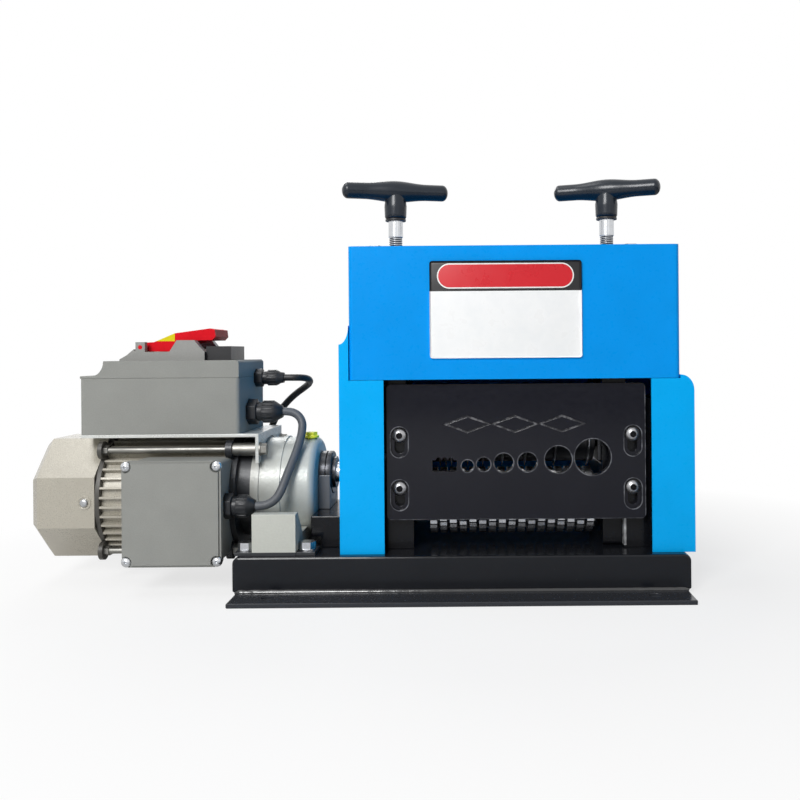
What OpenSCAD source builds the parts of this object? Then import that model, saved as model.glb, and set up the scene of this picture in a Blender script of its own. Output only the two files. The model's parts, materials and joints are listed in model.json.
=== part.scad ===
// Bench machine that slits the sheath of scrap cable: a geared motor turns a toothed feed roller,
// and disc blades above it, set by two screws with T-handles, cut what the guide plate lets in.
// X runs to the right, Y to the back, Z up. The origin is the middle of the base's underside.

/* [Base] */
// Length of the bottom plate
base_l = 400; // [390:1:420]
// Depth of the bottom plate
base_d = 260; // [250:1:280]
// Thickness of the bottom plate
base_t = 4; // [3:0.5:5]
// Length of the folded channel on the plate
channel_l = 407; // [400:1:420]
// Depth of the folded channel
channel_d = 194; // [190:1:200]
// Height of the channel's top, the deck
deck_z = 35; // [34:0.5:36]
// Sheet of the channel
channel_t = 3; // [2:0.5:4]
// Spacing of the mounting holes along X
bolt_dx = 336; // [320:1:350]
// Spacing of the mounting holes along Y
bolt_dy = 226; // [216:1:232]
// Mounting hole
bolt_d = 11; // [9:0.5:12]

/* [Hood] */
// Left side of the hood
hood_x0 = -100; // [-102:0.5:-98]
// Right side of the hood
hood_x1 = 197; // [195:0.5:199]
// Front of the hood, measured from the middle
hood_front = 88; // [87:0.5:90]
// Back of the hood, measured from the middle
hood_back = 80; // [78:0.5:84]
// Top of the hood
hood_top = 311; // [309:0.5:313]
// Lower edge of the hood
hood_low = 191; // [190:0.5:193]
// Sheet of the hood and the gear covers
sheet = 2; // [1.5:0.5:2.5]
// Left side of the left gear cover
cover_x0 = -109; // [-112:0.5:-108]
// Right side of the right gear cover
cover_x1 = 209.5; // [208:0.5:212]
// Left side of the feed opening
gate_x0 = -69; // [-71:0.5:-68]
// Right side of the feed opening
gate_x1 = 171; // [170:0.5:173]

/* [Guide plate] */
// Width of the guide plate
guide_w = 235; // [232:1:237]
// Lower edge of the guide plate
guide_low = 63.5; // [62:0.5:66]
// Upper edge of the guide plate
guide_high = 186.5; // [184:0.5:189]
// Thickness of the guide plate
guide_t = 10; // [9:0.5:10]
// How far the guide plate can be raised
guide_travel = 12; // [8:1:12]

/* [Cutting rollers] */
// Diameter of the feed roller over its teeth
roller_d = 62.6; // [60:0.2:63]
// Toothed rings on the feed roller
roller_rings = 17; // [12:1:17]
// Teeth on each ring
roller_teeth = 30; // [24:1:36]
// Module of the timing gears, which sets the distance between the shafts
timing_m = 4; // [3.95:0.05:4.05]
// Diameter of the disc blades
blade_d = 63; // [60:0.5:63]
// Thickness of a disc blade
blade_t = 3; // [2:0.5:3]

/* [Motor and gearbox] */
// Height of the motor's axis
motor_z = 77.5; // [77:0.5:78]
// Fan cover across its flats
fan_cover_w = 114; // [112:1:116]
// Radius over the cooling fins
fin_r = 58; // [56:0.5:59]
// Cooling fins around the housing
fin_n = 40; // [24:1:48]
// Radius of the gearbox drum
drum_r = 48; // [46:0.5:48]

/* [Control box] */
// Length of the control box
box_l = 150; // [146:1:152]
// Depth of the control box
box_d = 96; // [92:1:100]
// Seam between the control box and its lid
box_seam = 193; // [190:0.5:194]
// Top of the control lid
lid_z = 209.5; // [207:0.5:211]

/* [T-handles] */
// Length of a T-handle's bar
bar_l = 103; // [95:1:108]
// Turn of the left T-handle
left_turn = 13; // [-90:1:90]
// Turn of the right T-handle
right_turn = -19; // [-90:1:90]

/* [Hidden] */
$fn = 48;

// Running and sliding room between pieces that move
run_gap = 0.05;
slide_gap = 0.15;
// Room between pieces that are only fitted together
fit_gap = 0.02;
// Overshoot of every cut
cut = 1;

// Places, heights and radii of the round feed holes
hole_x = [5.8, 20.4, 38.7, 60.3, 88.3, 119.5];
hole_z = [112, 113.4, 114.6, 115.2, 117.3, 119.3];
hole_r = [5.5, 6.3, 8.7, 8.7, 12.3, 16.5];

// Axes of the two cutting shafts
timing_n = 16;
roller_cd = timing_m * timing_n;
roller_y = -27;
roller_z = 73;
blade_z = roller_z + roller_cd;

// Side frames
frame_t = 22;
frame_x = [-62, 142];
frame_y0 = -60;
frame_y1 = 34;
bridge_z = 297;
bridge_t = hood_top - sheet - bridge_z;
block_w = 44;
block_h = 48;
block_lip = 3;
spacer_r = 27;
spacer_hub_r = 14;
spacer_hub = 3;
term_rod_gap = 0.4;
slot_z = blade_z - block_h / 2 - 3;

// Hood, covers and what holds them
hood_bolt_x = [-82, 165];
hood_bolt_y = [-27, 22];
apron_x = [gate_x0 + 3, gate_x1 - 3];
outlet = [-35, 135, 98, 122];
cove = [9, 17];
cove_top = 240;
dome = [12, 14];
dome_z = 180;
seam_gap = 0.3;
cover_screw = [[-64, 119], [26, 119], [26, 75]];
bracket_x = [-69, 149];
bracket_w = 25;
bracket_leg_x = [frame_x[0] + frame_t / 2, frame_x[1] + frame_t / 2];

// Shafts and bearings
roller_shaft_r = 10;
blade_shaft_r = 8.5;
gear_seat_r = 8;
roller_bearing_r = 23.5;
blade_bearing_r = 17.5;
bearing_w = 14;

// Gears: the drive pair at the left, the timing pair at the right
pressure = 25;
backlash = 0.25;
drive_m = 2;
roller_gear_n = 22;
pinion_n = 14;
drive_cd = drive_m * (roller_gear_n + pinion_n) / 2;
output_y = 0;
output_z = roller_z + sqrt(pow(drive_cd, 2) - pow(output_y - roller_y, 2));
drive_angle = atan2(output_z - roller_z, output_y - roller_y);
drive_x = -96;
timing_x = 176;
gear_w = 16;

// Feed roller and blades
ring_pitch = 9.2;
ring_w = 6.4;
roller_x0 = -30;
roller_len = roller_rings * ring_pitch;
tooth_depth = 1.8;
core_r = roller_d / 2 - 4.5;
slot_blades = [-20.5, -15, -9.5];
blade_x = concat(slot_blades, hole_x);
blade_edge = 5.5;

// Guide plate
guide_x0 = 50 - guide_w / 2;
guide_y = -68 - guide_t;
lane_slot = [-26, -4, 107, 117.5];
scallop_r = 2.4;
guide_bolt_x = [-56, 156];
guide_bolt_z = [92, 140];
head_r = 7;
shank_r = 4;
bed_r = 7.75;
bed_depth = 3;
groove = 2.2;
groove_depth = 1.5;
diamond = [44.5, 16.5];
diamond_x = [5.75, 48.75, 91.75];
diamond_z = 150;

// Lifting screws and T-handles
screw_r = 6;
screw_y = roller_y;
shank_low = 327;
hub_low = 345;
bar_z = 371;
bar_mid_r = 10.3;
bar_end_r = 7.8;

// Motor and gearbox along X
fan_x0 = -403;
fan_x1 = -342;
shield_x1 = -338;
motor_x1 = -222;
drum_x1 = -140;
drum_z = 84;
rotor_r = 30;
stator_r = 44;
motor_shaft_r = 7;
lug_y = 43.5;
lug_dz = 47.5;
lug_r = 8.5;
spigot_r = fan_cover_w / 2 - sheet - 0.3;
fan_screw_x = -352;
foot_x = [-203, -131];
foot_t = 3;
foot_y = 91;
cheek_x = [-187, -148];
cheek_z = 72;
foot_bolt_x = [-195, -139.5];
foot_bolt_y = [-80, 80];
support_x = [-130.5, -109.5];
support_z = 64;
vent = [-149, -6, 131.5];

// Terminal box on the motor's front
term_x = [-304, -215];
term_z = [25, 120];
term_front = -91;
term_lid_t = 9;
term_gland = [-70, 76];
term_mid = [(term_x[0] + term_x[1]) / 2, (term_z[0] + term_z[1]) / 2];
term_screw = [40.5, 42.5];

// Control box and its switch
box_x0 = -359;
box_x1 = box_x0 + box_l;
box_y0 = -49;
box_low = 140;
shelf_t = 3;
shelf_leg_x = -194;
wall = 3;
mains_gland = [14, 191];
lead_gland = [-15, 158.5];
switch_x = [-330, -222];
paddle_pin = [-308, 222.5];
lid_ramp = 22;
switch_y = [-33, 33];
button_x = [-301.5, -284.5];
button_half = 6.5;
recess = 5;

// Motor lead between the lower gland and the terminal box
motor_lead_d = 8;
motor_route = [[-175, -15, 158.5], [-171, -15, 158.5], [-164.2, -15.6, 157.1], [-158.7, -17.3, 153.3],
    [-155.5, -19.7, 147.6], [-155, -22.6, 141.2], [-155.5, -27.5, 134], [-156.4, -34.5, 127],
    [-158, -42, 119.2], [-160.2, -49, 110.8], [-162.8, -55, 102.3], [-165.3, -60, 94],
    [-167.8, -63.8, 87], [-171.4, -67, 81.4], [-177.5, -69.3, 77.4], [-185, -70, 76], [-189, -70, 76]];

// Mains lead from the upper gland to the floor behind the motor, where it is coiled
mains_d = 7;
mains_route = [[-180, 14, 191], [-177, 14, 191], [-174, 14.1, 191], [-168.5, 15.2, 190.9],
    [-163.2, 18.8, 190.6], [-159.2, 24.6, 189.6], [-157.8, 32, 187.6], [-159.2, 39.3, 184.8],
    [-163, 45.2, 181.6], [-168.3, 49.3, 178], [-174.2, 52, 174], [-180.5, 54, 169],
    [-187, 56.2, 162.8], [-194.5, 60, 154.5], [-202, 65, 143.5], [-208.5, 70, 129.5], [-214, 74, 113],
    [-218.5, 77, 95.5], [-222, 79, 77.5], [-225, 80, 60], [-228.5, 80, 43.5], [-233.5, 79.5, 29],
    [-241, 77.5, 17.5], [-250.5, 75, 9.7], [-261, 72.8, 6.2], [-272, 71.3, 5], [-282, 71, 4.9],
    [-294, 71, 4.9]];
coil_x = -300;
coil_y = 118;
coil_r = 47;
coil_turns = 6;
coil_step = 7.6;
coil_climb = 7.5;
coil_rings = 24;
coil_tail = 44;
tie_t = 1;
tie_w = 9;
coil_z = mains_d / 2 + tie_t + 0.4;
plug_z = coil_z + coil_climb;

// Colours
black_paint = "#15161a";
blue_paint = "#0a93ea";
bare_steel = "#b9bcc0";
zinc = "#c9ccd0";
dark_steel = "#4a4c50";
cast_grey = "#a5a9a2";
motor_grey = "#b4b3a9";
box_grey = "#8a8b88";
plastic_black = "#232427";

// Helpers along the X axis
module x_rod(x0, x1, y, z, r) {
    translate([x0, y, z]) rotate([0, 90, 0]) cylinder(r = r, h = x1 - x0);
}

module x_turn(x0, y, z) {
    translate([x0, y, z]) rotate([0, 90, 0]) rotate_extrude() children();
}

// A sketch of Y and Z drawn out along X, or of X and Z along Y
module x_draw(x0, x1) {
    translate([x0, 0, 0]) rotate([90, 0, 90]) linear_extrude(x1 - x0) children();
}

module y_draw(y0, y1) {
    translate([0, y1, 0]) rotate([90, 0, 0]) linear_extrude(y1 - y0) children();
}

module y_rod(x, z, y0, y1, r) {
    translate([x, y1, z]) rotate([90, 0, 0]) cylinder(r = r, h = y1 - y0);
}

module slab(low, high) {
    translate(low) cube(high - low);
}

// Rectangle with round corners, from its low and high corners
module round_rect(low, high, r) {
    translate([low[0] + r, low[1]]) square([high[0] - low[0] - 2 * r, high[1] - low[1]]);
    translate([low[0], low[1] + r]) square([high[0] - low[0], high[1] - low[1] - 2 * r]);
    for (x = [low[0] + r, high[0] - r], z = [low[1] + r, high[1] - r]) translate([x, z]) circle(r);
}

function arc(c, rx, rz, a0, a1, n = 8) =
    [for (i = [0:n]) let (a = a0 + (a1 - a0) * i / n) c + [rx * cos(a), rz * sin(a)]];

// Involute tooth outline, tooth centres from the angle turn
function involute_turn(r, rb) = let (t = sqrt(max(0, pow(r / rb, 2) - 1))) t * 180 / PI - atan(t);
function gear_points(n, m, turn, steps = 4) =
    let (r = n * m / 2, rb = r * cos(pressure), tip = r + m, root = r - 1.25 * m,
        half = 90 / n - backlash / (2 * r) * 180 / PI + tan(pressure) * 180 / PI - pressure,
        low = max(rb, root))
    [for (i = [0:n - 1]) let (a = turn + i * 360 / n)
        each concat(
            [[root, a - half]],
            [for (k = [0:steps]) let (q = low + (tip - low) * k / steps)
                [q, a - half + involute_turn(q, rb)]],
            [for (k = [steps:-1:0]) let (q = low + (tip - low) * k / steps)
                [q, a + half - involute_turn(q, rb)]],
            [[root, a + half]])];

module gear_2d(n, m, turn) {
    polygon([for (p = gear_points(n, m, turn)) p[0] * [cos(p[1]), sin(p[1])]]);
}

module x_gear(x0, y, z, n, m, turn, w, bore) {
    difference() {
        translate([0, y, z]) x_draw(x0, x0 + w) gear_2d(n, m, turn);
        x_rod(x0 - cut, x0 + w + cut, y, z, bore);
    }
}

// Tube along a list of points, straight in its first and last stretch
function unit(v) = v / norm(v);
function headings(p) = [for (i = [0:len(p) - 1]) unit(p[min(i + 1, len(p) - 1)] - p[max(i - 1, 0)])];
function carry(t, n, i = 0) =
    i == len(t) ? [] : let (m = unit(n - (n * t[i]) * t[i])) concat([m], carry(t, m, i + 1));
function ring(p, t, n, r, sides) = [for (k = [0:sides - 1]) let (a = k * 360 / sides)
    p + r * (cos(a) * n + sin(a) * cross(t, n))];
function between(p, i, s) =
    let (a = p[max(i - 1, 0)], b = p[i], c = p[i + 1], d = p[min(i + 2, len(p) - 1)])
    i == 0 || i == len(p) - 2 ? b + s * (c - b) :
    b + 0.5 * s * ((c - a) + s * ((2 * a - 5 * b + 4 * c - d) + s * (3 * (b - c) + d - a)));
function smooth(p, steps) = concat(
    [for (i = [0:len(p) - 2], k = [0:steps - 1]) between(p, i, k / steps)], [p[len(p) - 1]]);

module tube(p, d, sides, up = [0, 0, 1]) {
    t = headings(p);
    n = carry(t, up);
    count = len(p);
    points = [for (i = [0:count - 1]) each ring(p[i], t[i], n[i], d / 2, sides)];
    walls = [for (i = [0:count - 2], k = [0:sides - 1])
        let (a = i * sides + k, b = i * sides + (k + 1) % sides)
        each [[a, a + sides, b], [b, a + sides, b + sides]]];
    first = [for (k = [1:sides - 2]) [0, k, k + 1]];
    last = [for (k = [1:sides - 2]) let (o = (count - 1) * sides) [o, o + k + 1, o + k]];
    polyhedron(points, concat(walls, first, last));
}

// Socket screw along -Y with a domed head, its seat at y
module socket_screw_y(x, z, y, r_head, h_head, r_shank, l_shank) {
    translate([x, y, z]) rotate([90, 0, 0]) difference() {
        rotate_extrude() polygon(concat(
            [[0, -l_shank], [r_shank, -l_shank], [r_shank, 0], [r_head, 0]],
            arc([0, 0], r_head, h_head, 8, 70, 6), [[0, h_head * sin(70)]]));
        translate([0, 0, h_head * 0.4]) cylinder(r = r_shank * 0.72, h = h_head, $fn = 6);
    }
}

// Hex bolt along Z, its seat at z
module hex_bolt_z(x, y, z, r, l, af = 13, h = 6) {
    translate([x, y, z - l]) cylinder(r = r, h = l);
    translate([x, y, z]) cylinder(d = af + 2, h = 1.5);
    translate([x, y, z + 1.5]) cylinder(d = af / cos(30), h = h, $fn = 6);
}

// Base
module base_plate() {
    color(black_paint) difference() {
        slab([-base_l / 2, -base_d / 2, 0], [base_l / 2, base_d / 2, base_t]);
        for (x = [-1, 1], y = [-1, 1])
            translate([x * bolt_dx / 2, y * bolt_dy / 2, -cut]) cylinder(d = bolt_d, h = base_t + 2 * cut);
    }
}

module channel_2d(inset, low) {
    r = 6;
    half = channel_l / 2 - inset;
    top = deck_z - inset;
    translate([-half, low]) square([2 * half, top - r - low]);
    translate([-half + r, low]) square([2 * (half - r), top - low]);
    for (s = [-1, 1]) translate([s * (half - r), top - r]) circle(r);
}

module base_channel() {
    color(black_paint) difference() {
        y_draw(-channel_d / 2, channel_d / 2) channel_2d(0, base_t);
        y_draw(-channel_d / 2 + channel_t, channel_d / 2 - channel_t) channel_2d(channel_t, base_t - cut);
        for (x = foot_bolt_x, y = foot_bolt_y)
            translate([x, y, deck_z - 4 * channel_t]) cylinder(r = shank_r + fit_gap, h = 5 * channel_t);
    }
}

// Frame that carries the two shafts
module side_frame(x) {
    x_draw(x - frame_t / 2, x + frame_t / 2) difference() {
        round_rect([frame_y0, deck_z], [frame_y1, bridge_z], 4);
        translate([roller_y - block_w / 2, slot_z]) square([block_w, bridge_z - slot_z + cut]);
        translate([roller_y, roller_z]) circle(roller_bearing_r + fit_gap);
        for (z = [150, 230]) translate([17, z]) circle(9);
    }
}

module left_side_frame() {
    color(black_paint) side_frame(frame_x[0]);
}

module right_side_frame() {
    color(black_paint) side_frame(frame_x[1]);
}

module top_plate() {
    color(black_paint) difference() {
        slab([-92, frame_y0, bridge_z], [176, frame_y1, bridge_z + bridge_t]);
        for (x = frame_x)
            translate([x, screw_y, bridge_z - cut]) cylinder(r = screw_r + run_gap, h = bridge_t + 2 * cut);
        for (x = hood_bolt_x, y = hood_bolt_y)
            translate([x, y, bridge_z - cut]) cylinder(r = shank_r + fit_gap, h = bridge_t + 2 * cut);
    }
}

// Sheet hood with a rounded plan, open below, and an apron with the outlet at its back
module hood() {
    color(blue_paint) difference() {
        union() {
            translate([0, 0, hood_low]) linear_extrude(hood_top - hood_low)
                round_rect([hood_x0, -hood_front], [hood_x1, hood_back], 4);
            slab([apron_x[0], hood_back - sheet, deck_z + cut], [apron_x[1], hood_back, hood_low + cut]);
        }
        slab([outlet[0], hood_back - sheet - cut, outlet[2]], [outlet[1], hood_back + cut, outlet[3]]);
        translate([0, 0, hood_low - cut]) linear_extrude(hood_top - hood_low - sheet + cut)
            round_rect([hood_x0 + sheet, -hood_front + sheet], [hood_x1 - sheet, hood_back - sheet], 2);
        for (x = frame_x) translate([x, screw_y, bridge_z]) cylinder(r = 9, h = 30);
        for (x = hood_bolt_x, y = hood_bolt_y) translate([x, y, bridge_z]) cylinder(r = 4.5, h = 30);
    }
}

// Outline of the left gear cover: a post with a hollow shoulder beside the hood
module left_cover_2d() {
    polygon(concat([[cover_x0, deck_z], [gate_x0, deck_z], [gate_x0, hood_low - seam_gap],
        [hood_x0 - seam_gap, hood_low - seam_gap]],
        arc([cover_x0, cove_top], cove[0] - seam_gap, cove[1], 0, -90)));
}

module left_cover_room() {
    inner = cove + [sheet, sheet];
    polygon(concat([[cover_x0 + sheet, 0], [gate_x0 + cut, 0], [gate_x0 + cut, cove_top]],
        arc([cover_x0, cove_top], inner[0], inner[1], 0, -acos(sheet / inner[0]))));
}

module left_gear_cover() {
    color(blue_paint) difference() {
        y_draw(-hood_front, hood_back) left_cover_2d();
        y_draw(-hood_front + sheet, hood_back - sheet) left_cover_room();
        x_rod(cover_x0 - cut, cover_x0 + sheet + cut, output_y, output_z, 13);
        for (p = cover_screw) x_rod(cover_x0 - cut, cover_x0 + sheet + cut, p[0], p[1], 2.6);
    }
}

// The right gear cover has a round shoulder below the hood's edge
module right_cover_2d(inset) {
    polygon(concat([[gate_x1 - inset, deck_z - 10 * inset], [cover_x1 - inset, deck_z - 10 * inset]],
        arc([cover_x1 - dome[0], dome_z], dome[0] - inset, dome[1] - inset, 0, 90),
        [[hood_x1 + seam_gap, dome_z + dome[1] - inset], [hood_x1 + seam_gap, hood_low - seam_gap],
        [gate_x1 - inset, hood_low - seam_gap]]));
}

module right_gear_cover() {
    color(blue_paint) difference() {
        y_draw(-hood_front, hood_back) right_cover_2d(0);
        y_draw(-hood_front + sheet, hood_back - sheet) {
            right_cover_2d(sheet);
            translate([gate_x1 - cut, hood_low - 2]) square([hood_x1 - gate_x1 + cut + seam_gap, 4]);
        }
        for (p = cover_screw) x_rod(cover_x1 - sheet - cut, cover_x1 + cut, p[0], p[1], 2.6);
    }
}

// Screws that hold the covers, each on a stand-off from an upright or a side frame
module cover_screw_x(depth) {
    rotate_extrude() polygon([[0, -depth], [3.5, -depth], [3.5, -sheet], [2.5, -sheet], [2.5, 0],
        [4.4, 0], [4, 1.6], [2.6, 2.4], [0, 2.6]]);
}

module cover_screws() {
    left_end = [bracket_x[0], frame_x[0] - frame_t / 2, frame_x[0] - frame_t / 2];
    right_end = [bracket_x[1] + bracket_w, frame_x[1] + frame_t / 2, frame_x[1] + frame_t / 2];
    color(dark_steel) for (i = [0:2]) {
        translate([cover_x1, cover_screw[i][0], cover_screw[i][1]]) rotate([0, 90, 0])
            cover_screw_x(cover_x1 - right_end[i]);
        translate([cover_x0, cover_screw[i][0], cover_screw[i][1]]) rotate([0, -90, 0])
            cover_screw_x(left_end[i] - cover_x0);
    }
}

// Bolts that hold the hood to the top plate and the gearbox to the deck
module hex_bolts() {
    color(zinc) {
        for (x = hood_bolt_x, y = hood_bolt_y) hex_bolt_z(x, y, hood_top, shank_r, bridge_t + sheet);
        for (x = foot_bolt_x, y = foot_bolt_y)
            hex_bolt_z(x, y, deck_z + foot_t, shank_r, foot_t + channel_t + 3);
    }
}

// Uprights that carry the guide plate, each an angle with a leg along its side frame
module guide_brackets() {
    color(black_paint) for (i = [0, 1]) difference() {
        union() {
            slab([bracket_x[i], -68, deck_z], [bracket_x[i] + bracket_w, frame_y0, 172]);
            slab([bracket_leg_x[i], frame_y0 - cut, deck_z], [bracket_leg_x[i] + 6, -44, 105]);
        }
        for (z = guide_bolt_z) y_rod(guide_bolt_x[i], z, -70, -50, shank_r + fit_gap);
    }
}

// Plate that sorts cables by size
module slot_2d(r, z) {
    translate([-r, z - guide_travel]) square([2 * r, guide_travel]);
    translate([0, z]) circle(r);
    translate([0, z - guide_travel]) circle(r);
}

module diamond_2d(grow) {
    w = diamond[0] / 2 + 2 * grow;
    h = diamond[1] / 2 + grow;
    polygon([[-w, 0], [0, -h], [w, 0], [0, h]]);
}

module guide_plate() {
    color(black_paint) difference() {
        y_draw(guide_y, -68) difference() {
            round_rect([guide_x0, guide_low], [guide_x0 + guide_w, guide_high], 4);
            for (i = [0:len(hole_x) - 1]) translate([hole_x[i], hole_z[i]]) circle(hole_r[i]);
            translate([lane_slot[0], lane_slot[2]])
                square([lane_slot[1] - lane_slot[0], lane_slot[3] - lane_slot[2]]);
            for (x = slot_blades) translate([x, lane_slot[3]]) circle(scallop_r);
            for (x = guide_bolt_x, z = guide_bolt_z) translate([x, 0]) slot_2d(shank_r + 0.5, z);
        }
        y_draw(guide_y - cut, guide_y + bed_depth)
            for (x = guide_bolt_x, z = guide_bolt_z) translate([x, 0]) slot_2d(bed_r, z);
        y_draw(guide_y - cut, guide_y + groove_depth) for (x = diamond_x) translate([x, diamond_z])
            difference() {
                diamond_2d(0);
                diamond_2d(-groove);
            }
    }
}

module guide_bolts() {
    color(dark_steel) for (x = guide_bolt_x, z = guide_bolt_z)
        socket_screw_y(x, z, guide_y + bed_depth - 0.1, head_r, 5.2, shank_r, 14);
}

// Feed roller and its shaft
module roller_shaft() {
    color(bare_steel) x_turn(0, roller_y, roller_z) polygon([[0, -102], [gear_seat_r - 1, -102],
        [gear_seat_r, -101], [gear_seat_r, -76], [roller_shaft_r, -76], [roller_shaft_r, 158],
        [gear_seat_r, 158], [gear_seat_r, 197], [gear_seat_r - 1, 198], [0, 198]]);
}

module ring_2d(turn) {
    step = 360 / roller_teeth;
    polygon([for (i = [0:roller_teeth - 1], s = [0, 1])
        let (r = roller_d / 2 - s * tooth_depth, a = turn + (i + s * 0.55) * step) r * [cos(a), sin(a)]]);
}

module feed_roller() {
    color(bare_steel) difference() {
        union() {
            x_rod(roller_x0, roller_x0 + roller_len, roller_y, roller_z, core_r);
            for (i = [0:roller_rings - 1]) translate([roller_x0 + i * ring_pitch + 0.4, roller_y, roller_z])
                x_draw(0, ring_w) ring_2d(i * 5);
            x_rod(-48, roller_x0 + cut, roller_y, roller_z, 15);
        }
        x_rod(-60, 140, roller_y, roller_z, roller_shaft_r + fit_gap);
    }
}

module bearing(x, y, z, r_in, r_out, w) {
    h = w / 2;
    mid = (r_in + r_out) / 2;
    x_turn(x, y, z) polygon([[r_in, -h], [mid - 2.5, -h], [mid - 2.5, -h + 1], [mid + 2.5, -h + 1],
        [mid + 2.5, -h], [r_out, -h], [r_out, h], [mid + 2.5, h], [mid + 2.5, h - 1],
        [mid - 2.5, h - 1], [mid - 2.5, h], [r_in, h]]);
}

module roller_bearings() {
    color(zinc) for (x = frame_x)
        bearing(x, roller_y, roller_z, roller_shaft_r + run_gap, roller_bearing_r, bearing_w);
}

module roller_gear() {
    color(dark_steel) x_gear(drive_x, roller_y, roller_z, roller_gear_n, drive_m, drive_angle, gear_w,
        gear_seat_r + fit_gap);
}

module lower_timing_gear() {
    color(dark_steel)
        x_gear(timing_x, roller_y, roller_z, timing_n, timing_m, 90, gear_w, gear_seat_r + fit_gap);
}

// Blade shaft, carried by two blocks that slide in the side frames
module upper_timing_gear() {
    color(dark_steel) x_gear(timing_x, roller_y, blade_z, timing_n, timing_m, 270 + 180 / timing_n, gear_w,
        gear_seat_r + fit_gap);
}

module blade_shaft() {
    color(bare_steel) x_turn(0, roller_y, blade_z) polygon([[0, -78], [blade_shaft_r - 1, -78],
        [blade_shaft_r, -77], [blade_shaft_r, 160], [gear_seat_r, 160], [gear_seat_r, 197],
        [gear_seat_r - 1, 198], [0, 198]]);
}

module disc_blades() {
    t = blade_t / 2;
    color(bare_steel) for (x = blade_x) x_turn(x, roller_y, blade_z)
        polygon([[blade_shaft_r + fit_gap, -t], [blade_d / 2 - blade_edge, -t], [blade_d / 2, 0],
            [blade_d / 2 - blade_edge, t], [blade_shaft_r + fit_gap, t]]);
}

module blade_spacers() {
    t = blade_t / 2;
    n = len(blade_x);
    ends = concat([-48 - t], blade_x, [128 + t]);
    color(plastic_black) for (i = [0:n]) difference() {
        union() {
            x_rod(ends[i] + t, ends[i + 1] - t, roller_y, blade_z, spacer_hub_r);
            x_rod(ends[i] + t + (i == 0 ? spacer_hub : 0), ends[i + 1] - t - (i == n ? spacer_hub : 0),
                roller_y, blade_z, spacer_r);
        }
        x_rod(ends[i], ends[i + 1], roller_y, blade_z, blade_shaft_r + fit_gap);
    }
}

module blade_bearings() {
    color(zinc) for (x = frame_x)
        bearing(x, roller_y, blade_z, blade_shaft_r + run_gap, blade_bearing_r, bearing_w);
}

module bearing_blocks() {
    half = frame_t / 2;
    side = block_w / 2 - slide_gap;
    color(dark_steel) for (x = frame_x) difference() {
        union() {
            slab([x - half - slide_gap, roller_y - side, blade_z - block_h / 2],
                [x + half + slide_gap, roller_y + side, blade_z + block_h / 2]);
            for (s = [-1, 1]) translate([x + s * (half + slide_gap + block_lip / 2), roller_y, blade_z])
                cube([block_lip, block_w + 8, block_h], center = true);
        }
        x_rod(x - 20, x + 20, roller_y, blade_z, blade_bearing_r + fit_gap);
        translate([x, roller_y, blade_z + block_h / 2 - 5]) cylinder(r = screw_r + run_gap, h = 10);
    }
}

// Lifting screws, held by their noses in the blocks
module lifting_screw(x) {
    color(zinc) translate([x, screw_y, 0]) rotate_extrude() polygon([[0, blade_z + block_h / 2 - 5],
        [screw_r - 1, blade_z + block_h / 2 - 5], [screw_r, blade_z + block_h / 2 - 4],
        [screw_r, shank_low], [7, shank_low], [7, hub_low + 12], [0, hub_low + 12]]);
}

module left_screw() {
    lifting_screw(frame_x[0]);
}

module right_screw() {
    lifting_screw(frame_x[1]);
}

// T-handle with a bar that swells at the middle and has round ends
function bar_r(s) = bar_end_r + (bar_mid_r - bar_end_r) * pow(cos(90 * min(1, abs(s) * 1.5)), 2);
module t_handle(x, turn) {
    half = bar_l / 2;
    straight = half - bar_end_r * 0.7;
    side = [for (i = [-10:10]) [bar_r(i / 10), straight * i / 10]];
    tip = arc([0, straight], bar_end_r, half - straight, 15, 90, 5);
    tail = arc([0, -straight], bar_end_r, half - straight, -90, -15, 5);
    color(plastic_black) translate([x, screw_y, 0]) rotate(turn) difference() {
        union() {
            translate([0, 0, bar_z]) rotate([0, 90, 0]) rotate_extrude() polygon(concat(tail, side, tip));
            rotate_extrude() polygon([[0, hub_low], [9.6, hub_low], [10.4, hub_low + 1.5],
                [10.8, hub_low + 12], [9, bar_z], [0, bar_z]]);
        }
        translate([0, 0, hub_low - cut]) cylinder(r = 7 + fit_gap, h = 13 + cut);
    }
}

module left_handle() {
    t_handle(frame_x[0], left_turn);
}

module right_handle() {
    t_handle(frame_x[1], right_turn);
}

// Drive from the gearbox into the left gear cover
module output_shaft() {
    color(bare_steel) difference() {
        x_turn(0, output_y, output_z) polygon([[0, -168], [9, -168], [10, -167], [10, -98],
            [gear_seat_r, -98], [gear_seat_r, -77], [gear_seat_r - 1, -76], [0, -76]]);
        slab([-122, output_y - 3, output_z + 6.5], [-99, output_y + 3, output_z + 12]);
    }
}

module drive_pinion() {
    color(dark_steel) x_gear(drive_x, output_y, output_z, pinion_n, drive_m,
        drive_angle + 180 + 180 / pinion_n, gear_w, gear_seat_r + fit_gap);
}

module output_bearing() {
    r = 10 + run_gap;
    color(dark_steel) x_turn(drum_x1, output_y, output_z) polygon([[r, 0], [21, 0], [21, 6], [18.5, 6],
        [18.5, 7.5], [21, 7.5], [21, 11.5], [20, 12.5], [15.5, 12.5], [15.5, 15.5], [r, 15.5]]);
}

module bearing_stand() {
    color("#5c5d60") difference() {
        slab([drum_x1, -24, support_z], [drum_x1 + 12, 24, output_z]);
        x_rod(drum_x1 - cut, drum_x1 + 13, output_y, output_z, 21 + fit_gap);
    }
}

module support_block() {
    color(black_paint) difference() {
        slab([support_x[0] - 9.5, -60, deck_z], [support_x[1], 30, support_z]);
        slab([support_x[0] - 10.5, -61, deck_z - cut], [support_x[0], 31, deck_z + 10]);
    }
}

// Gearbox drum with its motor flange and two bores
module motor_lugs(x0, x1) {
    for (y = [-1, 1], z = [-1, 1]) x_rod(x0, x1, y * lug_y, motor_z + z * lug_dz, lug_r);
}

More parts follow.
